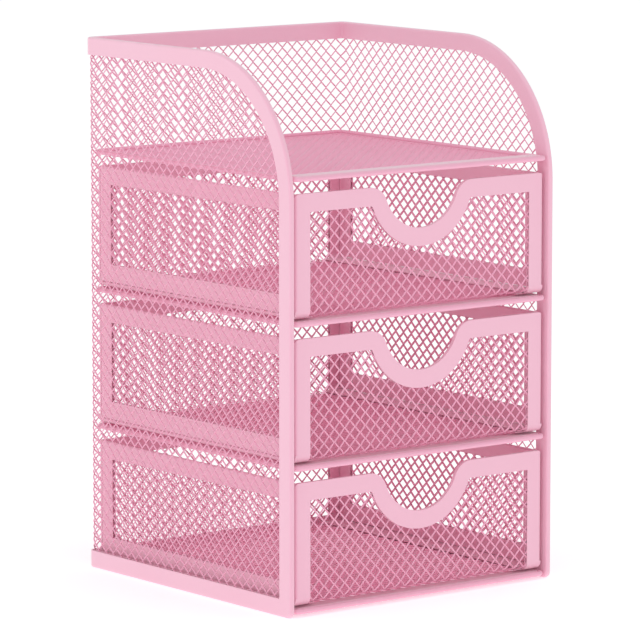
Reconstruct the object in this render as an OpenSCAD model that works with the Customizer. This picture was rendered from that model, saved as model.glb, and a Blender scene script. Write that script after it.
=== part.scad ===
// Desktop organizer of powder-coated mesh: an open tray with a high surround, over three drawers.
//
// The front is at -Y and the drawers pull out that way. The origin is the middle of the footprint,
// on the surface that the stand rests on. Millimetres throughout.
//
// How the real one is made: a sheet of expanded mesh is bent round the left, back and right sides,
// and its edges are wrapped in folded steel strip. Four wire loops, each with a mesh floor, are
// welded between the sides. Every drawer is a second sheet, folded up at the front and the back
// and edged in thinner strip, with a framed panel of mesh welded on at each side.
// The net is drawn with wider openings than the real 5.5 mm ones, in the same proportion.

/* [Stand] */
// Width over the side rims
stand_w = 144; // [120:1:200]
// Depth from the front posts to the back rail
stand_d = 146.5; // [120:0.5:200]
// Height of one storey, from wire loop to wire loop
storey_h = 60.8; // [50:0.1:80]
// Height of the tray's surround, from the tray's wire loop to the top edge
surround_h = 50.2; // [40:0.1:70]
// How far the curved front corner of the surround reaches below the tray
curve_drop = 9.8; // [0:0.1:15]

/* [Folded rims] */
// Width of the strip folded over the edge of the mesh
rim_w = 7.6; // [6:0.1:10]
// Thickness across the folded strip
rim_t = 2.5; // [2:0.1:3.5]
// Depth of solid strip between the outer edge and the groove for the mesh
rim_web = 1.2; // [0.8:0.1:2]
// Rounding of the strip's outer edge
rim_edge_r = 0.9; // [0.3:0.1:1]
// Radius of the back corners, seen from above
back_corner_r = 3.5; // [3.5:0.1:6]
// Radius of the lower front corner of a side rim
foot_corner_r = 3; // [2:0.1:5]

/* [Net] */
// Thickness of the expanded sheet
net_t = 0.8; // [0.5:0.1:1]
// Diagonal of one diamond, from strand to strand
net_pitch = 15; // [10:0.1:20]
// Width of a strand
net_strand = 1.8; // [1:0.1:2.5]
// Play between the sheet and each side of the groove it sits in
net_play = 0.1; // [0.05:0.05:0.2]

/* [Shelves] */
// Diameter of the wire loops
wire_d = 2.2; // [1.6:0.1:3]
// Radius of a loop's corners, at the middle of the wire
wire_bend_r = 3; // [2:0.5:8]
// Height of the lowest loop's middle above the table
base_wire_z = 2.4; // [1.5:0.1:6]
// Gap between a wire loop and what it is welded to
weld_gap = 0.1; // [0.05:0.05:0.3]
// Plain border round each mesh floor
floor_border = 1.6; // [1:0.1:4]
// Width of the plain strip along the front of a shelf
shelf_strip_w = 7.6; // [5:0.1:12]

/* [Drawers] */
// Gap between a drawer and each side post
drawer_side_gap = 1.8; // [1:0.1:4]
// How far a drawer's face sits behind the front of the posts
drawer_recess = 1.9; // [0.5:0.1:6]
// Gap between a closed drawer and the back rail
drawer_back_gap = 0.6; // [0.3:0.1:3]
// Running gap between a drawer's floor and the wire it slides on
drawer_run_gap = 0.9; // [0.1:0.05:0.95]
// Gap between a drawer's top edge and the wire above it
drawer_top_gap = 5.2; // [3:0.1:10]
// Thickness across a drawer's folded strip
wall_t = 1.8; // [1.6:0.1:2.5]
// Width of the strip round the drawer's face
face_w = 7.8; // [5:0.1:10]
// Rounding of the face's upper corners
face_corner_r = 2; // [1:0.1:4]
// Rounding of the face's upright edges
face_edge_r = 1.2; // [0.3:0.1:1.6]
// Width of the strip along the top of the side and back walls
wall_top_w = 7.6; // [5:0.1:10]
// Width of the upright strips of the back wall
wall_end_w = 7; // [5:0.1:10]
// Width of the strip along the foot and the ends of a side wall
wall_foot_w = 7.6; // [5:0.1:10]
// Gap between a side wall and the folded sheet that it is welded to
panel_gap = 0.3; // [0.1:0.05:0.4]
// Outer radius of the bends from the floor to the face and to the back wall
fold_r = 3.5; // [3:0.1:5]
// Width of the strip along each side of the floor
floor_lip_w = 12; // [8:0.1:14]
// Solid strip between a folded edge and the groove for the mesh
wall_web = 1; // [0.6:0.1:2]

/* [Finger dip] */
// Radius of the dip's round bottom
dip_r = 20.6; // [14:0.1:26]
// Depth of the dip below the top edge of the face
dip_depth = 18.8; // [10:0.1:24]
// Radius of the dip's shoulders
dip_shoulder_r = 9; // [8:0.5:12]

/* [Hidden] */
$fn = 96;
pink = "#EBB6CC";
pale_pink = "#F0C6D6";
deep_pink = "#E9A9C4";
EPS = 0.01;
BEYOND = 5;
ARC_STEPS = 24;

STOREYS = ["bottom", "middle", "top"];
SHELVES = ["base_shelf", "lower_shelf", "upper_shelf", "top_tray"];
DRAWER_PIECES = [
    "face_frame", "face_mesh", "wall_frame", "back_mesh", "floor_mesh",
    "left_frame", "left_mesh", "right_frame", "right_mesh"
];

// Stand
left_x = -stand_w / 2;
right_x = stand_w / 2;
front_y = -stand_d / 2;
back_y = stand_d / 2;
tray_z = base_wire_z + len(STOREYS) * storey_h;
top_z = tray_z + surround_h;
curve_r = surround_h + curve_drop;
groove_t = net_t + 2 * net_play;
net_off = (rim_t - net_t) / 2;
net_seat = rim_web + net_play;
window_h = top_z - 2 * rim_w;
side_net_l = stand_d - back_corner_r - rim_w;
back_net_l = stand_w - 2 * back_corner_r;

// Shelves
wire_r = wire_d / 2;
shelf_w = stand_w - 2 * (rim_t + weld_gap);
loop_inset = wire_d + weld_gap;
shelf_strip_t = wire_d - net_t - weld_gap;

// Drawers
drawer_w = stand_w - 2 * (rim_t + drawer_side_gap);
drawer_d = stand_d - drawer_recess - rim_t - drawer_back_gap;
drawer_h = storey_h - wire_d - drawer_run_gap - drawer_top_gap;
drawer_net_off = (wall_t - net_t) / 2;
wall_seat = wall_web + net_play;
panel_seat = wall_t + panel_gap;
panel_window = [
    drawer_d - 2 * (panel_seat + wall_foot_w),
    drawer_h - panel_seat - wall_foot_w - wall_top_w
];
dip_rise = dip_r - dip_depth;
dip_reach = sqrt(pow(dip_r + dip_shoulder_r, 2) - pow(dip_rise + dip_shoulder_r, 2));

function shelf_z(k) = base_wire_z + k * storey_h;
function drawer_z(k) = shelf_z(k) + wire_r + drawer_run_gap;
function cells(length) = max(1, round(length / net_pitch));
function half_cell(length) = length / cells(length) / 2;
function half_hole(length) = half_cell(length) - net_strand / sqrt(2);

// ---- Net ----

// Diamond holes on a lattice that starts and ends with half a hole on each edge of the field.
module diamonds(field) {
    step_x = half_cell(field.x);
    step_y = half_cell(field.y);
    hole_x = half_hole(field.x);
    hole_y = half_hole(field.y);
    for (i = [0 : 2 * cells(field.x)])
        for (j = [i % 2 : 2 : 2 * cells(field.y)])
            translate([i * step_x, j * step_y])
                polygon([[-hole_x, 0], [0, -hole_y], [hole_x, 0], [0, hole_y]]);
}

// A rectangle of net, with a plain border of its own width on each side: left, right, low, high.
module net_field(size, border) {
    field = [size.x - border[0] - border[1], size.y - border[2] - border[3]];
    difference() {
        square(size);
        translate([border[0], border[2]])
            intersection() {
                square(field);
                diamonds(field);
            }
    }
}

// ---- Stand ----

// Section across a folded rim: x across its thickness, y from the outer edge inwards.
module rim_section(width = rim_w) {
    difference() {
        union() {
            translate([0, rim_edge_r])
                square([rim_t, width - rim_edge_r]);
            translate([rim_edge_r, 0])
                square([rim_t - 2 * rim_edge_r, width]);
            for (x = [rim_edge_r, rim_t - rim_edge_r])
                translate([x, rim_edge_r])
                    circle(rim_edge_r);
        }
        translate([(rim_t - groove_t) / 2, rim_web])
            square([groove_t, width]);
    }
}

// One end of a side rim's turn, swept through a quarter circle in the side's own plane.
module side_turn(radius, width, start) {
    rotate([90, 0, -90])
        rotate([0, 0, start])
            rotate_extrude(angle = 90)
                intersection() {
                    square([radius, rim_t]);
                    translate([radius, 0])
                        rotate(90)
                            rim_section(width);
                }
}

// The left rim: along the table, up the front post, round the curve and back along the top.
module side_rim() {
    translate([left_x, front_y, foot_corner_r])
        linear_extrude(top_z - curve_r - foot_corner_r)
            rim_section();
    translate([left_x + rim_t, front_y + curve_r, top_z - curve_r])
        side_turn(curve_r, rim_w, 0);
    translate([left_x + rim_t, front_y + foot_corner_r, foot_corner_r])
        side_turn(foot_corner_r, foot_corner_r, -90);
    translate([left_x, front_y + curve_r, top_z])
        rotate([-90, 0, 0])
            linear_extrude(stand_d - curve_r - back_corner_r)
                rim_section();
    translate([left_x, back_y - back_corner_r, 0])
        rotate([90, 0, 0])
            linear_extrude(stand_d - foot_corner_r - back_corner_r)
                rim_section();
}

// Outline of a side as seen from the left, set in from its edge, with the open end at the back.
module side_outline(inset) {
    low_r = max(foot_corner_r - inset, EPS);
    high_r = curve_r - inset;
    length = stand_d - back_corner_r - inset;
    height = top_z - 2 * inset;
    translate([inset, inset]) {
        difference() {
            square([length, height]);
            square(low_r);
            translate([0, height - high_r])
                square(high_r);
        }
        intersection() {
            square(low_r);
            translate([low_r, low_r])
                circle(low_r);
        }
        intersection() {
            translate([0, height - high_r])
                square(high_r);
            translate([high_r, height - high_r])
                circle(high_r);
        }
    }
}

// The mesh of a side. Its lattice runs on level with the one of the back.
module side_net() {
    translate([left_x + net_off, front_y, 0])
        rotate([90, 0, 90])
            linear_extrude(net_t)
                difference() {
                    side_outline(net_seat);
                    intersection() {
                        side_outline(rim_w);
                        translate([rim_w, rim_w])
                            diamonds([side_net_l, window_h]);
                    }
                }
}

// A quarter turn round a back corner, from the left side to the back.
module back_turn() {
    rotate([0, 0, 90])
        rotate_extrude(angle = 90)
            children();
}

module back_turns() {
    for (side = [0, 1])
        mirror([side, 0, 0])
            translate([left_x + back_corner_r, back_y - back_corner_r, 0])
                back_turn()
                    children();
}

module back_top_rail() {
    color(pale_pink) {
        translate([left_x + back_corner_r, back_y, top_z])
            rotate([-90, 0, -90])
                linear_extrude(back_net_l)
                    rim_section();
        back_turns()
            translate([back_corner_r, top_z])
                rotate(180)
                    rim_section();
    }
}

module back_base_rail() {
    color(pale_pink) {
        translate([right_x - back_corner_r, back_y, 0])
            rotate([90, 0, -90])
                linear_extrude(back_net_l)
                    rim_section();
        back_turns()
            translate([back_corner_r - rim_t, 0])
                rim_section();
    }
}

// The back of the sheet, with both of its bent corners. The holes run on round the bends.
module back_net() {
    height = top_z - 2 * net_seat;
    bend_y = back_y - back_corner_r;
    hole = half_hole(window_h);
    color(deep_pink) {
        translate([left_x + back_corner_r, back_y - net_off, net_seat])
            rotate([90, 0, 0])
                linear_extrude(net_t)
                    net_field([back_net_l, height], [0, 0, rim_w - net_seat, rim_w - net_seat]);
        difference() {
            back_turns()
                translate([back_corner_r - net_off - net_t, net_seat])
                    square([net_t, height]);
            intersection() {
                translate([left_x, bend_y, rim_w])
                    cube([stand_w, back_corner_r, window_h]);
                for (x = [left_x, right_x - back_corner_r])
                    for (j = [0 : 2 : 2 * cells(window_h)])
                        translate([x, bend_y, rim_w + j * half_cell(window_h) - hole])
                            cube([back_corner_r, back_corner_r, 2 * hole]);
            }
        }
    }
}

// ---- Shelves ----

// The lowest loop stops at the base rail. The others reach the mesh above it.
function shelf_back(k) = back_y - weld_gap - (k == 0 ? rim_t : net_off + net_t);

module shelf_wire(k) {
    depth = shelf_back(k) - front_y;
    run_x = shelf_w / 2 - wire_r - wire_bend_r;
    run_y = depth / 2 - wire_r - wire_bend_r;
    color(pink)
        translate([0, front_y + depth / 2, shelf_z(k)]) {
            for (s = [-1, 1]) {
                translate([-run_x, s * (run_y + wire_bend_r), 0])
                    rotate([0, 90, 0])
                        cylinder(r = wire_r, h = 2 * run_x);
                translate([s * (run_x + wire_bend_r), run_y, 0])
                    rotate([90, 0, 0])
                        cylinder(r = wire_r, h = 2 * run_y);
            }
            for (corner = [[1, 1, 0], [-1, 1, 90], [-1, -1, 180], [1, -1, 270]])
                translate([corner[0] * run_x, corner[1] * run_y, 0])
                    rotate([0, 0, corner[2]])
                        rotate_extrude(angle = 90)
                            translate([wire_bend_r, 0])
                                circle(wire_r);
        }
}

function shelf_size(k) = [shelf_w, shelf_back(k) - front_y] - 2 * [loop_inset, loop_inset];

// What lies inside a loop, seen from above: its corners follow the wire's.
module loop_inside(size) {
    corner_r = max(wire_bend_r - wire_r - weld_gap, EPS);
    translate([corner_r, 0])
        square([size.x - 2 * corner_r, size.y]);
    translate([0, corner_r])
        square([size.x, size.y - 2 * corner_r]);
    for (x = [corner_r, size.x - corner_r], y = [corner_r, size.y - corner_r])
        translate([x, y])
            circle(corner_r);
}

// A mesh floor lies inside its loop, level with the underside of the wire.
module shelf_net(k) {
    size = shelf_size(k);
    color(pale_pink)
        translate([-size.x / 2, front_y + loop_inset, shelf_z(k) - wire_r])
            linear_extrude(net_t)
                intersection() {
                    loop_inside(size);
                    net_field(size, [floor_border, floor_border, floor_border, floor_border]);
                }
}

// The plain strip lies on the front of the mesh floor, level with the top of the wire.
module shelf_strip(k) {
    size = shelf_size(k);
    edge_r = shelf_strip_t / 2;
    color(pale_pink)
        translate([-size.x / 2, front_y + loop_inset, shelf_z(k) + wire_r - shelf_strip_t])
            intersection() {
                linear_extrude(shelf_strip_t)
                    loop_inside(size);
                rotate([90, 0, 90])
                    linear_extrude(size.x) {
                        translate([edge_r, 0])
                            square([shelf_strip_w - 2 * edge_r, shelf_strip_t]);
                        for (y = [edge_r, shelf_strip_w - edge_r])
                            translate([y, edge_r])
                                circle(edge_r);
                    }
            }
}

// ---- Drawers: x from the middle, y from the face backwards, z from the underside ----

// Points on an arc after its first one, from one angle to another.
function arc(middle, radius, from, to) = [
    for (i = [1 : ARC_STEPS])
        let (angle = from + (to - from) * i / ARC_STEPS)
            middle + radius * [cos(angle), sin(angle)]
];

// The finger dip as it is cut from an outline set in by some distance: a round bottom with a
// shoulder on each side, so that the strip along it keeps its width.
module dip(inset) {
    slope = atan2(dip_rise + dip_shoulder_r, dip_reach);
    right = concat(
        arc([0, dip_rise], dip_r + inset, -90, -slope),
        arc([dip_reach, -dip_shoulder_r], dip_shoulder_r - inset, 180 - slope, 90)
    );
    left = [for (i = [len(right) - 1 : -1 : 0]) [-right[i].x, right[i].y]];
    above = [[dip_reach, BEYOND], [-dip_reach, BEYOND]];
    polygon(concat(right, above, left, [[0, dip_rise - dip_r - inset]]));
}

// Outline of an end of the sheet above its bend, set in from its sides and its top.
module end_outline(side_inset, top_inset) {
    corner_r = max(face_corner_r - side_inset, EPS);
    half_w = drawer_w / 2 - side_inset;
    high = drawer_h - top_inset;
    translate([-half_w, fold_r])
        square([2 * half_w, high - corner_r - fold_r]);
    translate([-half_w + corner_r, fold_r])
        square([2 * (half_w - corner_r), high - fold_r]);
    for (x = [-half_w + corner_r, half_w - corner_r])
        translate([x, high - corner_r])
            circle(corner_r);
}

// Outline of the face, with its dip.
module face_outline(inset) {
    difference() {
        end_outline(inset, inset);
        translate([0, drawer_h])
            dip(inset);
    }
}

// An outline as a plate, from one depth behind the outer face to another.
module end_plate(from, to) {
    translate([0, to, 0])
        rotate([90, 0, 0])
            linear_extrude(to - from)
                children();
}

// A quarter bend between an end and the floor: x inwards from the outer face and y up.
module bend_section(from, to) {
    intersection() {
        square(fold_r);
        difference() {
            translate([fold_r, fold_r])
                circle(fold_r - from);
            translate([fold_r, fold_r])
                circle(fold_r - to);
        }
    }
}

// A section drawn as depth behind the face and height, run along x.
module along_face(x, length) {
    translate([x, 0, 0])
        rotate([90, 0, 90])
            linear_extrude(length)
                children();
}

// The strip round an end of the sheet, open at the foot. Its two uprights turn in under the floor.
// Its outline is child 0, its window child 1 and the groove for the mesh child 2.
module end_frame(upright_w) {
    difference() {
        intersection() {
            end_plate(0, wall_t)
                children(0);
            translate([0, 0, fold_r])
                linear_extrude(drawer_h) {
                    translate([-drawer_w / 2, face_edge_r])
                        square([drawer_w, wall_t]);
                    translate([-drawer_w / 2 + face_edge_r, 0])
                        square([drawer_w - 2 * face_edge_r, wall_t]);
                    for (s = [-1, 1])
                        translate([s * (drawer_w / 2 - face_edge_r), face_edge_r])
                            circle(face_edge_r);
                }
        }
        end_plate(-EPS, wall_t + EPS)
            children(1);
        end_plate(drawer_net_off - net_play, drawer_net_off + net_t + net_play)
            children(2);
    }
    for (x = [-drawer_w / 2, drawer_w / 2 - upright_w])
        along_face(x, upright_w)
            bend_section(0, wall_t);
}

// The mesh of an end of the sheet. It follows the bend below and meets the floor's mesh. Its
// lattice starts just above the bend, and the lowest holes run on down round it.
// Its outline is child 0 and the window of its frame child 1.
module end_net(upright_w, top_w) {
    foot = fold_r + net_t;
    field = [drawer_w - 2 * upright_w, drawer_h - top_w - foot];
    clear_w = field.x - 2 * net_play;
    hole = half_hole(field.x);
    translate([0, fold_r, 0])
        difference() {
            intersection() {
                translate([0, -fold_r, 0])
                    along_face(-drawer_w / 2, drawer_w) {
                        bend_section(drawer_net_off, drawer_net_off + net_t);
                        translate([drawer_net_off, fold_r])
                            square([net_t, drawer_h]);
                    }
                rotate([90, 0, 0])
                    linear_extrude(fold_r) {
                        children(0);
                        translate([-clear_w / 2, 0])
                            square([clear_w, fold_r]);
                    }
            }
            rotate([90, 0, 0])
                linear_extrude(fold_r) {
                    intersection() {
                        children(1);
                        translate([-field.x / 2, foot])
                            intersection() {
                                square(field);
                                diamonds(field);
                            }
                    }
                    for (i = [2 : 2 : 2 * cells(field.x) - 2])
                        translate([i * half_cell(field.x) - field.x / 2 - hole, fold_r / 2])
                            square([2 * hole, foot - fold_r / 2]);
                }
        }
}

// The back is made as the face is, and turned to look backwards.
module as_back() {
    translate([0, drawer_d, 0])
        mirror([0, 1, 0])
            children();
}

module face_frame() {
    end_frame(face_w) {
        face_outline(0);
        face_outline(face_w);
        face_outline(wall_web);
    }
}

module face_net() {
    end_net(face_w, face_w) {
        face_outline(wall_seat);
        face_outline(face_w);
    }
}

module back_wall_net() {
    as_back()
        end_net(wall_end_w, wall_top_w) {
            end_outline(wall_seat, wall_seat);
            end_outline(wall_end_w, wall_top_w);
        }
}

// Section across the strip at a side of the floor: x inwards from its outer edge, y up.
module floor_strip_section() {
    edge_r = wall_t / 2;
    difference() {
        union() {
            translate([edge_r, 0])
                square([floor_lip_w - edge_r, wall_t]);
            translate([edge_r, edge_r])
                circle(edge_r);
        }
        translate([wall_web, drawer_net_off - net_play])
            square([floor_lip_w, groove_t]);
    }
}

// The strip along both sides of the floor and round the back. The side walls stand on it.
module wall_frame() {
    length = drawer_d - 2 * fold_r;
    for (side = [0, 1])
        mirror([side, 0, 0])
            translate([-drawer_w / 2, fold_r + length, 0])
                rotate([90, 0, 0])
                    linear_extrude(length)
                        floor_strip_section();
    as_back()
        end_frame(wall_end_w) {
            end_outline(0, 0);
            end_outline(wall_end_w, wall_top_w);
            end_outline(wall_web, wall_web);
        }
}

// The mesh floor lies in the strips along its sides.
module floor_net() {
    border = floor_lip_w - wall_seat;
    size = [drawer_w - 2 * wall_seat, drawer_d - 2 * fold_r];
    translate([-size.x / 2, fold_r, drawer_net_off])
        linear_extrude(net_t)
            net_field(size, [border, border, floor_border, floor_border]);
}

// ---- Side walls of a drawer: flat panels between the face and the back wall ----

// Outline of a side wall seen from the left, set in from its edges. Its lower corners follow the
// bends of the sheet that it stands on.
module panel_outline(inset) {
    low = panel_seat + inset;
    length = drawer_d - 2 * low;
    height = drawer_h - inset - low;
    corner_r = max(fold_r - low, EPS);
    translate([low, low]) {
        translate([0, corner_r])
            square([length, height - corner_r]);
        translate([corner_r, 0])
            square([length - 2 * corner_r, height]);
        for (y = [corner_r, length - corner_r])
            translate([y, corner_r])
                circle(corner_r);
    }
}

// An outline of the left wall as a plate, from one depth inside the outer face to another.
module panel_plate(from, to) {
    translate([from - drawer_w / 2, 0, 0])
        rotate([90, 0, 90])
            linear_extrude(to - from)
                children();
}

module in_panel_window() {
    translate([panel_seat + wall_foot_w, panel_seat + wall_foot_w])
        children();
}

module left_panel() {
    edge_r = wall_t / 2;
    difference() {
        intersection() {
            panel_plate(0, wall_t)
                panel_outline(0);
            translate([-drawer_w / 2, drawer_d, 0])
                rotate([90, 0, 0])
                    linear_extrude(drawer_d) {
                        square([wall_t, drawer_h - edge_r]);
                        translate([edge_r, drawer_h - edge_r])
                            circle(edge_r);
                    }
        }
        panel_plate(-EPS, wall_t + EPS)
            in_panel_window()
                square(panel_window);
        panel_plate(drawer_net_off - net_play, drawer_net_off + net_t + net_play)
            panel_outline(wall_web);
    }
}

module left_panel_net() {
    panel_plate(drawer_net_off, drawer_net_off + net_t)
        difference() {
            panel_outline(wall_seat);
            in_panel_window()
                intersection() {
                    square(panel_window);
                    diamonds(panel_window);
                }
        }
}

// ---- Nodes ----

module left_rim() {
    color(pale_pink)
        side_rim();
}

module right_rim() {
    color(pale_pink)
        mirror([1, 0, 0])
            side_rim();
}

module left_mesh() {
    color(deep_pink)
        side_net();
}

module right_mesh() {
    color(deep_pink)
        mirror([1, 0, 0])
            side_net();
}

module in_bay(k) {
    translate([0, front_y + drawer_recess, drawer_z(k)])
        children();
}

module drawer_strip(k) {
    color(pink)
        in_bay(k)
            children();
}

module drawer_mesh(k) {
    color(deep_pink)
        in_bay(k)
            children();
}

module drawer_piece(k, piece) {
    if (piece == "face_frame") drawer_strip(k) face_frame();
    if (piece == "face_mesh") drawer_mesh(k) face_net();
    if (piece == "wall_frame") drawer_strip(k) wall_frame();
    if (piece == "back_mesh") drawer_mesh(k) back_wall_net();
    if (piece == "floor_mesh") drawer_mesh(k) floor_net();
    if (piece == "left_frame") drawer_strip(k) left_panel();
    if (piece == "left_mesh") drawer_mesh(k) left_panel_net();
    if (piece == "right_frame") drawer_strip(k) mirror([1, 0, 0]) left_panel();
    if (piece == "right_mesh") drawer_mesh(k) mirror([1, 0, 0]) left_panel_net();
}

left_rim();
right_rim();
left_mesh();
right_mesh();
back_top_rail();
back_base_rail();
back_net();  // back_mesh
for (k = [0 : len(SHELVES) - 1]) {
    shelf_wire(k);
    shelf_net(k);
    shelf_strip(k);
}
for (k = [0 : len(STOREYS) - 1])
    for (piece = DRAWER_PIECES)
        drawer_piece(k, piece);
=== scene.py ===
# %% [markdown]
# # A desk organizer of powder-coated mesh
#
# The object is an open tray with a high, curved surround over three drawers. All of it is thin
# steel: expanded mesh, with its cut edges held in folded strip, and wire loops that carry the
# drawers. One pink powder coat covers everything.
#
# The strips and the wires come from the CAD frame, because their shapes are right there. The CAD
# nets are coarse, so this script replaces each of them with expanded mesh at its real pitch.

# %% Load the frame
import math

import bmesh
import bpy
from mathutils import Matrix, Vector


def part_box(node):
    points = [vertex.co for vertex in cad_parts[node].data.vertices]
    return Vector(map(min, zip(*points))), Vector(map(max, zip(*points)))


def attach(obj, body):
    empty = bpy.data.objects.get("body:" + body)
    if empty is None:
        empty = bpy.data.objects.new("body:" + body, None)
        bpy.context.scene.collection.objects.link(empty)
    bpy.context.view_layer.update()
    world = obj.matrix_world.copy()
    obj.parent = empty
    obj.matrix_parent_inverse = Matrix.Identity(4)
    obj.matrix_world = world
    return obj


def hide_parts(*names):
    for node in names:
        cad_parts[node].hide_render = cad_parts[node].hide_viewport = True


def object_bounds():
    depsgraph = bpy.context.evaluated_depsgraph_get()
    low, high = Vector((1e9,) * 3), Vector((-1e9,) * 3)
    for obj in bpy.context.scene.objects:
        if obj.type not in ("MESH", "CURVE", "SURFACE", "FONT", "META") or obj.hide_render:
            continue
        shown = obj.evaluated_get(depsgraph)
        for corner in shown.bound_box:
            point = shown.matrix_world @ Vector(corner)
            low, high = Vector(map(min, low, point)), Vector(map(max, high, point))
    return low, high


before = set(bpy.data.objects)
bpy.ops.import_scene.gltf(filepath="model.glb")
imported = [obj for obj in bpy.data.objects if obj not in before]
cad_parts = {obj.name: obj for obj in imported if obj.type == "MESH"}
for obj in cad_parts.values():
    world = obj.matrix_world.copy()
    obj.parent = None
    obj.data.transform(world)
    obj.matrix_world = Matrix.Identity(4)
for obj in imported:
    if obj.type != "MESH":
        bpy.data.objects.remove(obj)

MM = 0.001
TO_RIGHT = Vector((1, 0, 0))
TO_BACK = Vector((0, 1, 0))
UP = Vector((0, 0, 1))

cad_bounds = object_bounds()
scene = bpy.context.scene
scene.view_settings.view_transform = "Standard"

# %% [markdown]
# ## The camera
#
# The photograph was taken from the front left, a little above the middle, with a long lens. The
# values below come from fitting the known corners to the photograph. The camera is pitched down
# and not shifted, so that it can also be moved round the object.

# %% Set up the camera
PHOTO_WIDTH_PX = 640
FOCAL_LENGTH_PX = 4604
SENSOR_WIDTH_MM = 36
VIEW_AZIMUTH = math.radians(-38.10)
VIEW_ELEVATION = math.radians(8.14)
VIEW_DISTANCE = 2011 * MM
AIM_RIGHT = 0.90 * MM
AIM_UP = -5.32 * MM


def direction(azimuth, elevation):
    """The unit vector from the object towards a place at that azimuth and elevation, in radians."""
    level = math.cos(elevation)
    return Vector((math.sin(azimuth) * level, -math.cos(azimuth) * level, math.sin(elevation)))


middle = (cad_bounds[0] + cad_bounds[1]) / 2
to_camera = direction(VIEW_AZIMUTH, VIEW_ELEVATION)
camera_right = Vector((math.cos(VIEW_AZIMUTH), math.sin(VIEW_AZIMUTH), 0))
camera_up = to_camera.cross(camera_right)
camera_data = bpy.data.cameras.new("photo_camera")
camera_data.sensor_width = SENSOR_WIDTH_MM
camera_data.lens = FOCAL_LENGTH_PX / PHOTO_WIDTH_PX * SENSOR_WIDTH_MM
camera = bpy.data.objects.new("photo_camera", camera_data)
camera.location = middle + camera_right * AIM_RIGHT + camera_up * AIM_UP + to_camera * VIEW_DISTANCE
camera.rotation_euler = to_camera.to_track_quat("Z", "Y").to_euler()
scene.collection.objects.link(camera)
scene.camera = camera
print("lens, mm:", round(camera_data.lens, 1))

# %% [markdown]
# ## Small helpers for nodes and colours
#
# Shader trees and Geometry Nodes trees are both made of nodes, sockets and links, so one function
# serves them all. Colours are written as sRGB hex, as a paint chart gives them. Blender reckons in
# linear light, so one function converts them.


# %% Helpers
def add_node(tree, kind, sockets=None, **settings):
    """Adds a node. Each socket gets a plain value, or a link where an output socket is given."""
    node = tree.nodes.new(kind)
    for name, value in settings.items():
        setattr(node, name, value)
    for key, value in (sockets or {}).items():
        if isinstance(value, bpy.types.NodeSocket):
            tree.links.new(value, node.inputs[key])
        else:
            node.inputs[key].default_value = value
    return node


def linear(hex_colour):
    """A hex colour such as "#EDAEC9" as linear red, green, blue and alpha, by sRGB's formula."""
    channels = [int(hex_colour[i : i + 2], 16) / 255 for i in (1, 3, 5)]
    light = [c / 12.92 if c <= 0.04045 else ((c + 0.055) / 1.055) ** 2.4 for c in channels]
    return (*light, 1.0)


# %% [markdown]
# ## The powder coat
#
# Powder coat is pigmented polyester that is sprayed on as dust and baked until it flows. It leaves
# an opaque satin skin with a fine orange peel, and hides the steel under it, so the shader is a
# plastic's and not a metal's: metallic 0 and an IOR of 1.6. The colour wanders by a few percent
# with the thickness of the coat. One function makes the coat, and its numbers differ with what is
# under it: smooth folded strip, drawn wire, or the sheared strands of the net, where the coat is
# thinner and more grainy. The shader's sheen is a painted reflection: a pale veil, strongest where
# the coat is seen at a slant, that stands in for the sheen that bright studio light gives the lit
# faces.
# It is strong on the broad strips and weak on the narrow strands.

# %% The coat and its three finishes
PINK = "#FBA9CA"
PINK_THIN = "#FBA2C5"
COAT_IOR = 1.6
PAINTED_SHEEN_ROUGHNESS = 1.0
PATCH_DETAIL = 3.0
PEEL_DETAIL = 2.0
# A Mix node has sockets for every kind of value. These are the numbers of its colour sockets.
MIX_COLOUR_A, MIX_COLOUR_B, MIX_COLOUR_RESULT = 6, 7, 2


def powder_coat(name, peel_mm, peel_depth_mm, roughness, roughness_spread, patch_mm, painted_sheen):
    """An opaque satin coat, with orange peel of that size and depth, and faint patches of tone."""
    material = bpy.data.materials.new(name)
    material.use_nodes = True
    tree = material.node_tree
    shader = tree.nodes["Principled BSDF"]
    shader.inputs["IOR"].default_value = COAT_IOR
    # The sheen is a painted reflection: a pale veil that stands in for the sheen of bright studio
    # light.
    shader.inputs["Sheen Weight"].default_value = painted_sheen
    shader.inputs["Sheen Roughness"].default_value = PAINTED_SHEEN_ROUGHNESS
    place = add_node(tree, "ShaderNodeTexCoord").outputs["Object"]
    patches = add_node(
        tree,
        "ShaderNodeTexNoise",
        {"Vector": place, "Scale": 1 / (patch_mm * MM), "Detail": PATCH_DETAIL},
    )
    tone = add_node(
        tree,
        "ShaderNodeMix",
        {
            "Factor": patches.outputs["Fac"],
            MIX_COLOUR_A: linear(PINK_THIN),
            MIX_COLOUR_B: linear(PINK),
        },
        data_type="RGBA",
    )
    tree.links.new(tone.outputs[MIX_COLOUR_RESULT], shader.inputs["Base Color"])
    peel = add_node(
        tree,
        "ShaderNodeTexNoise",
        {"Vector": place, "Scale": 1 / (peel_mm * MM), "Detail": PEEL_DETAIL},
    )
    gloss = add_node(
        tree,
        "ShaderNodeMapRange",
        {
            "Value": peel.outputs["Fac"],
            "To Min": roughness - roughness_spread,
            "To Max": roughness + roughness_spread,
        },
    )
    tree.links.new(gloss.outputs["Result"], shader.inputs["Roughness"])
    bump = add_node(
        tree,
        "ShaderNodeBump",
        {"Height": peel.outputs["Fac"], "Distance": peel_depth_mm * MM, "Strength": 1.0},
    )
    tree.links.new(bump.outputs["Normal"], shader.inputs["Normal"])
    return material


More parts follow.
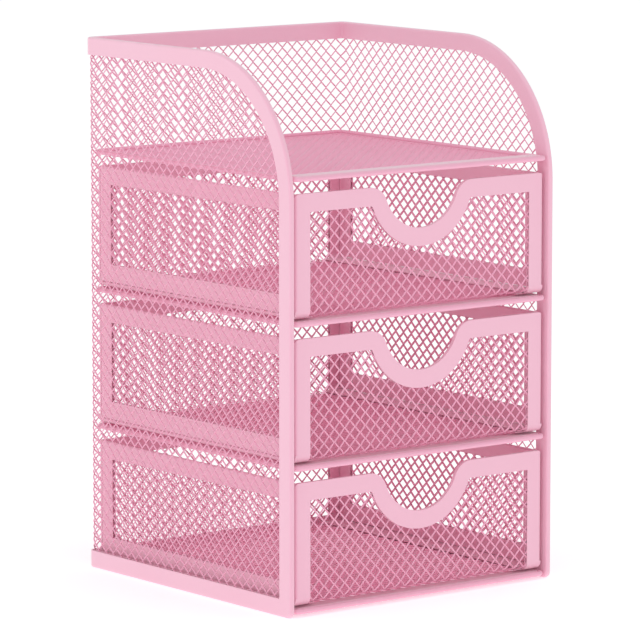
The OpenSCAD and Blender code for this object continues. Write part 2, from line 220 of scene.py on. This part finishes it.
strip_coat = powder_coat(
    "powder-coated folded steel strip",
    peel_mm=1.2,
    peel_depth_mm=0.01,
    roughness=0.36,
    roughness_spread=0.05,
    patch_mm=30,
    painted_sheen=0.70,
)
wire_coat = powder_coat(
    "powder-coated steel wire",
    peel_mm=0.9,
    peel_depth_mm=0.01,
    roughness=0.30,
    roughness_spread=0.04,
    patch_mm=25,
    painted_sheen=0.40,
)
net_coat = powder_coat(
    "powder-coated expanded steel",
    peel_mm=0.5,
    peel_depth_mm=0.02,
    roughness=0.42,
    roughness_spread=0.06,
    patch_mm=20,
    painted_sheen=0.35,
)
print("materials:", [m.name for m in (strip_coat, wire_coat, net_coat)])

# %% [markdown]
# ## Dress the strips and wires
#
# These CAD pieces keep their shape: the folded rims with their rounded outer edge, the wire loops,
# and the drawers' frames. They only need the coat.

# %% Give the CAD pieces their coat
for name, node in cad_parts.items():
    coat = wire_coat if name.endswith("_wire") else strip_coat
    node.data.materials.clear()
    node.data.materials.append(coat)

# %% [markdown]
# ## One bond of the expanded mesh
#
# Expanded mesh starts as plain sheet. A press slits it in staggered rows and pulls it open, so the
# net is one piece with no welds. Where two rows meet, two strands stay joined side by side in a
# bond. Each strand is a flat ribbon, and the pull makes it lean out of the sheet, with the same
# edge raised on all of them. So the strands that rise to the right face one way and those that fall
# the other, and the net's two diagonals show two tones, as in the photograph.
#
# The bond is what repeats: it is modelled once, with the four half strands that leave it, and its
# open ends fit the next bond's ends. Eight sides and three stations for each strand are enough,
# because the net has thousands of bonds.

# %% The bond
NET_PITCH = 5.55 * MM
STRAND_WIDTH = 0.68 * MM
STRAND_THICKNESS = 0.40 * MM
STRAND_ROUNDING = 0.07 * MM
STRAND_LEAN = math.radians(33)
STRAND_SIDES = 8
# The joined pair is as deep as two strands that cross at a right angle.
BOND_SPREAD = (math.sqrt(0.5) - 0.5) * STRAND_WIDTH


def strand_section(across, outwards):
    """The corners of a strand's section, flat and with its edges broken, about its middle."""
    half_w, half_t = STRAND_WIDTH / 2, STRAND_THICKNESS / 2
    in_w, in_t = half_w - STRAND_ROUNDING, half_t - STRAND_ROUNDING
    corners = [
        (half_w, -in_t), (half_w, in_t), (in_w, half_t), (-in_w, half_t),
        (-half_w, in_t), (-half_w, -in_t), (-in_w, -half_t), (in_w, -half_t),
    ]
    wide = across * math.cos(STRAND_LEAN) + outwards * math.sin(STRAND_LEAN)
    thick = outwards * math.cos(STRAND_LEAN) - across * math.sin(STRAND_LEAN)
    return [wide * w + thick * t for w, t in corners]


def make_bond():
    """Two bent strands, side by side where they meet. The net's plane is their XY plane."""
    mesh = bmesh.new()
    reach = NET_PITCH / 4
    outwards = Vector((0, 0, 1))
    rising = Vector((-1, 1, 0)).normalized()
    falling = Vector((1, 1, 0)).normalized()
    for side in (1, -1):
        first, last = (falling, rising) if side == 1 else (rising, falling)
        stations = [
            (Vector((-reach, side * reach, 0)), first),
            (Vector((0, side * BOND_SPREAD, 0)), Vector((0, 1, 0))),
            (Vector((reach, side * reach, 0)), last),
        ]
        rings = [
            [mesh.verts.new(centre + corner) for corner in strand_section(across, outwards)]
            for centre, across in stations
        ]
        for here, there in zip(rings, rings[1:]):
            for i in range(STRAND_SIDES):
                j = (i + 1) % STRAND_SIDES
                mesh.faces.new((here[i], there[i], there[j], here[j]))
    data = bpy.data.meshes.new("bond")
    mesh.to_mesh(data)
    mesh.free()
    bond_object = bpy.data.objects.new("bond", data)
    scene.collection.objects.link(bond_object)
    return bond_object


bond = make_bond()
print("faces in one bond:", len(bond.data.polygons))

# %% [markdown]
# ## The tree that lays out a net
#
# The same Geometry Nodes tree makes every net. Its input is a flat plate with the outline of the
# net. A grid of points covers the plate, every second point is dropped so that the rows are
# staggered, and a ray down from each point keeps only those over the plate. A bond goes on each
# point, the half strands are welded, and then the flat net is bent: its first axis follows a path
# curve, as the real sheet follows the folding machine, and its second axis stays straight.
#
# The net could also be an array modifier, but then it couldn't follow an outline with curves.


# %% The net's tree
TREE_INPUTS = {
    "Plate": "NodeSocketGeometry",
    "Pitch": "NodeSocketFloat",
    "Bond": "NodeSocketObject",
    "Path": "NodeSocketObject",
    "Straight axis": "NodeSocketVector",
    "Coat": "NodeSocketMaterial",
}
RAY_HEIGHT = 1.0
WELD_DISTANCE = 0.02 * MM


def build_net_tree():
    """The Geometry Nodes tree that turns a flat plate into a bent net."""
    tree = bpy.data.node_groups.new("expanded net", "GeometryNodeTree")
    tree.interface.new_socket("Geometry", in_out="OUTPUT", socket_type="NodeSocketGeometry")
    for label, socket_type in TREE_INPUTS.items():
        tree.interface.new_socket(label, in_out="INPUT", socket_type=socket_type)
    given = add_node(tree, "NodeGroupInput").outputs

    def maths(operation, a, b=0.0):
        return add_node(tree, "ShaderNodeMath", {0: a, 1: b}, operation=operation).outputs[0]

    def vectors(operation, a, b=(0, 0, 0)):
        sockets = {0: a, 1: b}
        return add_node(tree, "ShaderNodeVectorMath", sockets, operation=operation).outputs[0]

    def scaled(vector, factor):
        sockets = {"Vector": vector, "Scale": factor}
        return add_node(tree, "ShaderNodeVectorMath", sockets, operation="SCALE").outputs[0]

    # A grid of points over the plate's box, at whole multiples of half the pitch.
    step = maths("DIVIDE", given["Pitch"], 2.0)
    box = add_node(tree, "GeometryNodeBoundBox", {0: given["Plate"]})
    low = add_node(tree, "ShaderNodeSeparateXYZ", {0: box.outputs["Min"]})
    high = add_node(tree, "ShaderNodeSeparateXYZ", {0: box.outputs["Max"]})
    sizes, counts, middles = [], [], []
    for axis in (0, 1):
        first = maths("FLOOR", maths("DIVIDE", low.outputs[axis], step))
        last = maths("CEIL", maths("DIVIDE", high.outputs[axis], step))
        span = maths("SUBTRACT", last, first)
        sizes.append(maths("MULTIPLY", span, step))
        counts.append(maths("ADD", span, 1.0))
        middles.append(maths("MULTIPLY", maths("ADD", first, last), maths("DIVIDE", step, 2.0)))
    grid = add_node(
        tree,
        "GeometryNodeMeshGrid",
        {"Size X": sizes[0], "Size Y": sizes[1], "Vertices X": counts[0], "Vertices Y": counts[1]},
    )
    offset = add_node(tree, "ShaderNodeCombineXYZ", {0: middles[0], 1: middles[1]})
    lattice = add_node(
        tree, "GeometryNodeSetPosition", {"Geometry": grid.outputs[0], "Offset": offset.outputs[0]}
    )

    # Every second point goes, and so does each point that isn't over the plate.
    place = add_node(tree, "GeometryNodeInputPosition").outputs[0]
    at = add_node(tree, "ShaderNodeSeparateXYZ", {0: place})
    column = maths("ROUND", maths("DIVIDE", at.outputs[0], step))
    row = maths("ROUND", maths("DIVIDE", at.outputs[1], step))
    staggered = maths("FLOORED_MODULO", maths("ADD", column, row), 2.0)
    above = vectors("ADD", place, (0, 0, RAY_HEIGHT))
    over_plate = add_node(
        tree,
        "GeometryNodeRaycast",
        {
            "Target Geometry": given["Plate"],
            "Source Position": above,
            "Ray Direction": (0, 0, -1),
            "Ray Length": 2 * RAY_HEIGHT,
        },
    ).outputs["Is Hit"]
    missed = maths("SUBTRACT", 1.0, over_plate)
    dropped = maths("GREATER_THAN", maths("ADD", missed, staggered), 0.5)
    points = add_node(
        tree, "GeometryNodeDeleteGeometry", {"Geometry": lattice.outputs[0], "Selection": dropped}
    )

    # A bond on each point that is left, welded to its neighbours.
    bond_shape = add_node(tree, "GeometryNodeObjectInfo", {"Object": given["Bond"]})
    bonds = add_node(
        tree,
        "GeometryNodeInstanceOnPoints",
        {"Points": points.outputs[0], "Instance": bond_shape.outputs["Geometry"]},
    )
    loose = add_node(tree, "GeometryNodeRealizeInstances", {0: bonds.outputs[0]})
    welded = add_node(
        tree,
        "GeometryNodeMergeByDistance",
        {"Geometry": loose.outputs[0], "Distance": WELD_DISTANCE},
    )

    # The first axis of the flat net follows the path, and the third stands square to it.
    path = add_node(tree, "GeometryNodeObjectInfo", {"Object": given["Path"]}).outputs["Geometry"]
    path_length = add_node(tree, "GeometryNodeCurveLength", {0: path}).outputs[0]
    along = maths("ADD", at.outputs[0], maths("DIVIDE", path_length, 2.0))
    sample = add_node(
        tree, "GeometryNodeSampleCurve", {"Curves": path, "Length": along}, mode="LENGTH"
    )
    outwards = vectors(
        "NORMALIZE", vectors("CROSS_PRODUCT", sample.outputs["Tangent"], given["Straight axis"])
    )
    beside = scaled(given["Straight axis"], at.outputs[1])
    raised = scaled(outwards, at.outputs[2])
    bent_place = vectors("ADD", sample.outputs["Position"], vectors("ADD", beside, raised))
    bent = add_node(
        tree, "GeometryNodeSetPosition", {"Geometry": welded.outputs[0], "Position": bent_place}
    )
    whole = add_node(tree, "GeometryNodeRealizeInstances", {0: bent.outputs[0]})
    coated = add_node(
        tree, "GeometryNodeSetMaterial", {"Geometry": whole.outputs[0], "Material": given["Coat"]}
    )
    add_node(tree, "NodeGroupOutput", {0: coated.outputs[0]})
    return tree


net_tree = build_net_tree()
print("nodes in the net's tree:", len(net_tree.nodes))

# %% [markdown]
# ## Plates, paths and the finished net
#
# A plate is only an outline, with arcs where the real edge is round. A path is a chain of points.
# The tree's inputs are set by their identifiers, and the evaluated result becomes a plain mesh.
# The strands that were cut at the outline are then closed, as the shears leave them, and the
# section of each strand is shaded round, because the coat fills its corners.

# %% Make one net
ARC_STEPS = 16
SMOOTH_UP_TO = math.radians(50)


def arc(centre, radius, start, end):
    """Points on an arc from one angle to another, in degrees."""
    turns = [math.radians(start + (end - start) * i / ARC_STEPS) for i in range(ARC_STEPS + 1)]
    return [(centre[0] + radius * math.cos(t), centre[1] + radius * math.sin(t)) for t in turns]


def make_plate(outline):
    """A flat face with that outline, in the XY plane."""
    data = bpy.data.meshes.new("plate")
    data.from_pydata([(x, y, 0) for x, y in outline], [], [range(len(outline))])
    plate = bpy.data.objects.new("plate", data)
    scene.collection.objects.link(plate)
    return plate


def make_path(points):
    """A curve of straight lines through those points."""
    data = bpy.data.curves.new("path", "CURVE")
    data.dimensions = "3D"
    spline = data.splines.new("POLY")
    spline.points.add(len(points) - 1)
    for point, place in zip(spline.points, points):
        point.co = (*place, 1)
    path = bpy.data.objects.new("path", data)
    scene.collection.objects.link(path)
    return path


def chain_length(points):
    """The length of a chain of straight lines through those points."""
    return sum((Vector(b) - Vector(a)).length for a, b in zip(points, points[1:]))


def close_cut_ends(mesh):
    """Closes the strands that were cut at the outline, and shades the strands' sections round."""
    shape = bmesh.new()
    shape.from_mesh(mesh)
    open_edges = [edge for edge in shape.edges if edge.is_boundary]
    bmesh.ops.holes_fill(shape, edges=open_edges, sides=STRAND_SIDES)
    shape.to_mesh(mesh)
    shape.free()
    mesh.shade_smooth()
    mesh.set_sharp_from_angle(angle=SMOOTH_UP_TO)


def make_net(name, outline, path_points, straight_axis):
    """Expanded mesh over an outline. The outline's first axis counts from the path's middle."""
    piece = make_plate(outline)
    path = make_path(path_points)
    modifier = piece.modifiers.new("net", "NODES")
    modifier.node_group = net_tree
    values = {
        "Pitch": NET_PITCH,
        "Bond": bond,
        "Path": path,
        "Straight axis": straight_axis,
        "Coat": net_coat,
    }
    for socket in net_tree.interface.items_tree:
        if socket.in_out == "INPUT" and socket.name in values:
            modifier[socket.identifier] = values[socket.name]
    bpy.context.view_layer.update()
    depsgraph = bpy.context.evaluated_depsgraph_get()
    mesh = bpy.data.meshes.new_from_object(piece.evaluated_get(depsgraph), depsgraph=depsgraph)
    piece.modifiers.clear()
    piece.data = mesh
    piece.name = name
    mesh.name = name
    close_cut_ends(mesh)
    bpy.data.objects.remove(path)
    print(name, "faces:", len(mesh.polygons))
    return piece


def copy_net(source, name, shift):
    """The same net at another height, for storeys that are alike."""
    mesh = source.data.copy()
    for vertex in mesh.vertices:
        vertex.co += shift
    piece = bpy.data.objects.new(name, mesh)
    scene.collection.objects.link(piece)
    return piece


def finish_net(piece, body, *nodes):
    """Tells the frame which body a net moves with and which CAD nodes it takes the place of."""
    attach(piece, body)
    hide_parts(*nodes)


# %% [markdown]
# ## The sheet round the sides and the back
#
# One sheet is bent round the left, the back and the right, so the rows of its mesh run on round
# the corners. The path is the middle of the folded strip, seen from above. The sheet is cut into
# three pieces between two columns of bonds, where the halves fit each other. The mesh ends inside
# the fold of the strip, out of sight, at HOLD from the strip's outer edge. The frame gives boxes
# only, so the radius of the curve at the front is written here again.

# %% The three nets of the stand
HOLD = 5 * MM
SURROUND_RADIUS = 60 * MM

rim_low, rim_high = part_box("left_rim")
side_sheet_low, side_sheet_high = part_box("left_mesh")
back_sheet_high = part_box("back_mesh")[1]
side_x = (side_sheet_low.x + side_sheet_high.x) / 2
back_y = back_sheet_high.y - (side_sheet_high.x - side_sheet_low.x) / 2
bend_y = side_sheet_high.y
bend_r = back_y - bend_y
left_bend = [(x, y, 0) for x, y in arc((side_x + bend_r, bend_y), bend_r, 180, 90)]
right_bend = [(x, y, 0) for x, y in arc((-side_x - bend_r, bend_y), bend_r, 90, 0)]
surround_path = [(side_x, rim_low.y, 0), *left_bend, *right_bend, (-side_x, rim_low.y, 0)]
half_surround = chain_length(surround_path) / 2
to_bend = half_surround - (bend_y - rim_low.y)
column_width = NET_PITCH / 2
cut = (math.floor(to_bend / column_width) + 0.5) * column_width

edge_low, edge_high = rim_low.z + HOLD, rim_high.z - HOLD
curve_centre = (-half_surround + SURROUND_RADIUS, rim_high.z - SURROUND_RADIUS)
left_outline = [
    (-half_surround + HOLD, edge_low),
    (-cut, edge_low),
    (-cut, edge_high),
    *arc(curve_centre, SURROUND_RADIUS - HOLD, 90, 180),
]
right_outline = [(-x, y) for x, y in reversed(left_outline)]
back_outline = [(-cut, edge_low), (cut, edge_low), (cut, edge_high), (-cut, edge_high)]

finish_net(make_net("left_net", left_outline, surround_path, UP), "stand", "left_mesh")
finish_net(make_net("right_net", right_outline, surround_path, UP), "stand", "right_mesh")
finish_net(make_net("back_net", back_outline, surround_path, UP), "stand", "back_mesh")

# %% [markdown]
# ## The floors of the tray and of the shelves
#
# Each floor is a flat net inside its wire loop, welded to the wire all round. Its bonds run up to
# the wire. The sheet's edge is pressed flat, so a plain border goes round it, made here as a ring
# whose corners follow the bends of the wire. At the front it goes under a plain strip, which is a
# CAD piece.

# %% The shelf nets
WELD_REACH = 0.3 * MM
BORDER_WIDTH = 1.6 * MM
BORDER_CORNER = 1.8 * MM
BORDER_EDGE = 0.15 * MM


def make_border(name, low, high):
    """A flat ring just inside the box of a shelf's net, with its edges broken."""
    corners = [
        (high.x - BORDER_CORNER, high.y - BORDER_CORNER, 0),
        (low.x + BORDER_CORNER, high.y - BORDER_CORNER, 90),
        (low.x + BORDER_CORNER, low.y + BORDER_CORNER, 180),
        (high.x - BORDER_CORNER, low.y + BORDER_CORNER, 270),
    ]
    profile = [
        (0, low.z + BORDER_EDGE), (0, high.z - BORDER_EDGE),
        (BORDER_EDGE, high.z), (BORDER_WIDTH - BORDER_EDGE, high.z),
        (BORDER_WIDTH, high.z - BORDER_EDGE), (BORDER_WIDTH, low.z + BORDER_EDGE),
        (BORDER_WIDTH - BORDER_EDGE, low.z), (BORDER_EDGE, low.z),
    ]
    shape = bmesh.new()
    rings = []
    for inset, z in profile:
        outline = []
        for x, y, turn in corners:
            outline += arc((x, y), BORDER_CORNER - inset, turn, turn + 90)
        rings.append([shape.verts.new((x, y, z)) for x, y in outline])
    for here, there in zip(rings, rings[1:] + rings[:1]):
        for i in range(len(here)):
            j = (i + 1) % len(here)
            shape.faces.new((here[i], here[j], there[j], there[i]))
    bmesh.ops.recalc_face_normals(shape, faces=shape.faces)
    data = bpy.data.meshes.new(name)
    shape.to_mesh(data)
    shape.free()
    data.materials.append(net_coat)
    border = bpy.data.objects.new(name, data)
    scene.collection.objects.link(border)
    return border


def make_shelf_net(shelf):
    """The flat net and the plain border of one shelf."""
    low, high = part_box(f"{shelf}_mesh")
    half_x, half_y = (high.x - low.x) / 2 - WELD_REACH, (high.y - low.y) / 2 - WELD_REACH
    centre_y, z = (low.y + high.y) / 2, (low.z + high.z) / 2
    outline = [(-half_x, -half_y), (half_x, -half_y), (half_x, half_y), (-half_x, half_y)]
    path = [(low.x, centre_y, z), (high.x, centre_y, z)]
    net = make_net(f"{shelf}_net", outline, path, TO_BACK)
    border = make_border(f"{shelf}_border", low, high)
    return net, border


for shelf in ("base_shelf", "lower_shelf", "upper_shelf", "top_tray"):
    net, border = make_shelf_net(shelf)
    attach(border, "stand")
    finish_net(net, "stand", f"{shelf}_mesh")

# %% [markdown]
# ## The drawers' nets
#
# A drawer has three pieces of mesh. One comes down the face, turns in at its foot, becomes the
# floor and goes up the back, so that face, floor and back are one net. The side walls are flat
# framed panels that stand on it. Only the bottom drawer's nets are made: the drawers are alike, so
# the others are copies at their own height. The face's outline follows the finger dip, a round
# bottom with a shoulder on each side, whose sizes are written here again too.
#
# Where a sheet is cut from its roll decides where its rows fall. Two small shifts bring the rows of
# the back and of the right panel nearly in line with the stand's own rows behind them, seen from
# the photograph's side, so that the dips show one clear lattice there.

# %% The nets of the three drawers
DIP_RADIUS = 20.6 * MM
DIP_DEPTH = 18.8 * MM
SHOULDER_RADIUS = 9 * MM
FOLD_RADIUS = 3.5 * MM
SHEET_SHIFT = 0.71 * MM
PANEL_SHIFT = 0.90 * MM

frame_low, frame_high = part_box("bottom_drawer_face_frame")
wall_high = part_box("bottom_drawer_wall_frame")[1]
floor_low, floor_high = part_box("bottom_drawer_floor_mesh")
side_low, side_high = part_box("bottom_drawer_left_mesh")
panel_low, panel_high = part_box("bottom_drawer_left_frame")

floor_z = (floor_low.z + floor_high.z) / 2
sheet_depth = floor_z - frame_low.z
fold_r = FOLD_RADIUS - sheet_depth
fold_z = frame_low.z + FOLD_RADIUS
front_fold = arc((frame_low.y + FOLD_RADIUS, fold_z), fold_r, 180, 270)
back_fold = arc((wall_high.y - FOLD_RADIUS, fold_z), fold_r, 270, 360)
sheet_path = [
    (SHEET_SHIFT, frame_low.y + sheet_depth, frame_high.z),
    *[(SHEET_SHIFT, y, z) for y, z in front_fold + back_fold],
    (SHEET_SHIFT, wall_high.y - sheet_depth, wall_high.z),
]
half_sheet = chain_length(sheet_path) / 2

edge_x = frame_high.x - HOLD
dip_rise = DIP_RADIUS - DIP_DEPTH
dip_reach = math.sqrt((DIP_RADIUS + SHOULDER_RADIUS) ** 2 - (dip_rise + SHOULDER_RADIUS) ** 2)
shoulder_turn = math.degrees(math.atan2(dip_rise + SHOULDER_RADIUS, dip_reach))
half_dip = [
    *arc((-dip_reach, -SHOULDER_RADIUS), SHOULDER_RADIUS - HOLD, 90, shoulder_turn),
    *arc((0, dip_rise), DIP_RADIUS + HOLD, 180 + shoulder_turn, 270),
]
top_edge = half_dip + [(-x, y) for x, y in reversed(half_dip)]
sheet_outline = [
    (half_sheet - HOLD, -edge_x),
    (half_sheet - HOLD, edge_x),
    (-half_sheet + HOLD, edge_x),
    *[(-half_sheet - y, -x) for x, y in top_edge],
    (-half_sheet + HOLD, -edge_x),
]
sheet_outline = [(along, across - SHEET_SHIFT) for along, across in sheet_outline]
sheet_net = make_net("bottom_drawer_sheet_net", sheet_outline, sheet_path, TO_RIGHT)

panel_x = (side_low.x + side_high.x) / 2
panel_z = (panel_low.z + panel_high.z) / 2
panel_path = [(panel_x, y + PANEL_SHIFT, panel_z) for y in (panel_low.y, panel_high.y)]
half_y = chain_length(panel_path) / 2 - HOLD
half_z = panel_high.z - panel_z - HOLD
panel_outline = [(-half_y, -half_z), (half_y, -half_z), (half_y, half_z), (-half_y, half_z)]
panel_outline = [(along - PANEL_SHIFT, up) for along, up in panel_outline]
panel_net = make_net("bottom_drawer_left_net", panel_outline, panel_path, UP)
to_right_panel = -2 * panel_x * TO_RIGHT

for storey in ("bottom", "middle", "top"):
    drawer = f"{storey}_drawer"
    shift = (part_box(f"{drawer}_face_frame")[0].z - frame_low.z) * UP
    sheet, left = sheet_net, panel_net
    if storey != "bottom":
        sheet = copy_net(sheet_net, f"{drawer}_sheet_net", shift)
        left = copy_net(panel_net, f"{drawer}_left_net", shift)
    right = copy_net(panel_net, f"{drawer}_right_net", shift + to_right_panel)
    pieces_of_sheet = [f"{drawer}_{part}_mesh" for part in ("face", "floor", "back")]
    finish_net(sheet, drawer, *pieces_of_sheet)
    finish_net(left, drawer, f"{drawer}_left_mesh")
    finish_net(right, drawer, f"{drawer}_right_mesh")

bpy.data.objects.remove(bond)

# %% [markdown]
# ## The floor, the world and the lamps
#
# The photograph shows the object on plain white. The floor is matt white paper on a light table:
# it glows a little, which lights the insides of the drawers from below and leaves only a faint
# shadow round the foot. The rest of the light is that of a photographer's tent, soft and plain
# from all sides, with a weak large lamp on the left and a smaller one above, which make those sides
# a little paler than the inside.

# %% The floor and the world
FLOOR_SIZE = 40.0
FLOOR_WHITE = "#F4F4F4"
FLOOR_GLOW = 0.42
TENT_LIGHT = 0.83
TENT_SEEN = 1.0


def make_floor():
    """The paper on its light table, as a stage for the object."""
    bpy.ops.mesh.primitive_plane_add(size=FLOOR_SIZE)
    floor = bpy.context.object
    floor.name = "floor"
    paper = bpy.data.materials.new("matt white paper")
    paper.use_nodes = True
    tree = paper.node_tree
    tree.nodes.clear()
    matt = add_node(tree, "ShaderNodeBsdfDiffuse", {"Color": linear(FLOOR_WHITE)})
    glow = add_node(tree, "ShaderNodeEmission", {"Strength": FLOOR_GLOW})
    both = add_node(tree, "ShaderNodeAddShader", {0: matt.outputs[0], 1: glow.outputs[0]})
    add_node(tree, "ShaderNodeOutputMaterial", {"Surface": both.outputs[0]})
    floor.data.materials.append(paper)


def make_world():
    """The tent: plain white to the camera and in reflections, and a little weaker as a light."""
    world = bpy.data.worlds.new("studio tent")
    scene.world = world
    world.use_nodes = True
    tree = world.node_tree
    tree.nodes.clear()
    rays = add_node(tree, "ShaderNodeLightPath").outputs
    seen = add_node(
        tree,
        "ShaderNodeMath",
        {0: rays["Is Camera Ray"], 1: rays["Is Glossy Ray"]},
        operation="MAXIMUM",
    )
    level = add_node(
        tree,
        "ShaderNodeMapRange",
        {"Value": seen.outputs[0], "To Min": TENT_LIGHT, "To Max": TENT_SEEN},
    )
    sky = add_node(tree, "ShaderNodeBackground", {"Strength": level.outputs[0]})
    add_node(tree, "ShaderNodeOutputWorld", {"Surface": sky.outputs[0]})


make_floor()
make_world()


# %% The lamps
def add_softbox(name, azimuth, elevation, distance, size, radiance):
    """A square lamp that faces the object. Angles are in degrees, distance and size in metres."""
    data = bpy.data.lights.new(name, "AREA")
    data.shape = "SQUARE"
    data.size = size
    data.energy = radiance * math.pi * size**2
    lamp = bpy.data.objects.new(name, data)
    away = direction(math.radians(azimuth), math.radians(elevation))
    lamp.location = middle + away * distance
    lamp.rotation_euler = away.to_track_quat("Z", "Y").to_euler()
    scene.collection.objects.link(lamp)


add_softbox("left softbox", azimuth=-80, elevation=10, distance=1.3, size=1.1, radiance=0.45)
add_softbox("top softbox", azimuth=0, elevation=80, distance=1.5, size=0.6, radiance=2.0)
